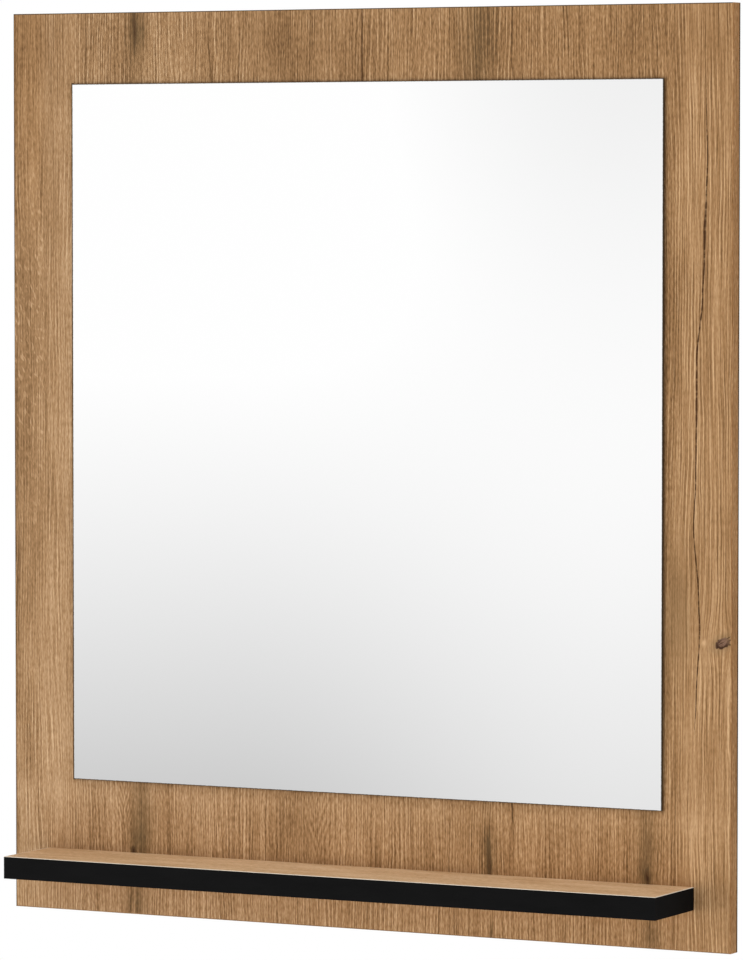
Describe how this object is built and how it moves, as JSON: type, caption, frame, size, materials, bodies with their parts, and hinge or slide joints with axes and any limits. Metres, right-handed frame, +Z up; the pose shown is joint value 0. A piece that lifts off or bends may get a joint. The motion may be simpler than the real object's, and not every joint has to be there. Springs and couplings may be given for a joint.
{
  "type": "hall mirror",
  "caption": "Wall mirror for a hall: a rectangular oak-decor board with a frameless mirror on its front, a narrow black-edged shelf below it and keyhole plates in its back.",
  "frame": {"origin": "centre of the board's back face, which lies against the wall", "axes": "+X to the right seen from the front, +Y into the wall, +Z up"},
  "size_m": [0.78, 0.1025, 0.89],
  "materials": {
    "oak_decor": "melamine decor of knotty oak with upright grain, matt and finely pored",
    "oak_shelf": "melamine decor of oak with lengthwise grain, matt",
    "black_band": "black plastic edge band, slightly pebbled",
    "clear_glass": "clear float glass with ground corners",
    "silver": "silver coat with protective paint behind",
    "foam": "white double-sided foam tape",
    "adhesive": "cured neutral mirror adhesive",
    "beech": "beech dowel rod",
    "zinc_steel": "bright zinc-plated steel"
  },
  "bodies": {
    "root": {"panel_board": "oak_decor", "panel_edge_left": "oak_decor", "panel_edge_right": "oak_decor", "panel_edge_top": "oak_decor", "panel_edge_bottom": "oak_decor", "mirror_glass": "clear_glass", "mirror_silver": "silver", "mirror_tape": "foam", "mirror_adhesive": "adhesive", "shelf_board": "oak_shelf", "shelf_edge_front": "black_band", "shelf_edge_left": "black_band", "shelf_edge_right": "black_band", "shelf_dowels": "beech", "shelf_screws": "zinc_steel", "hanger_left": "zinc_steel", "hanger_right": "zinc_steel", "hanger_screws_left": "zinc_steel", "hanger_screws_right": "zinc_steel"}
  },
  "joints": []
}
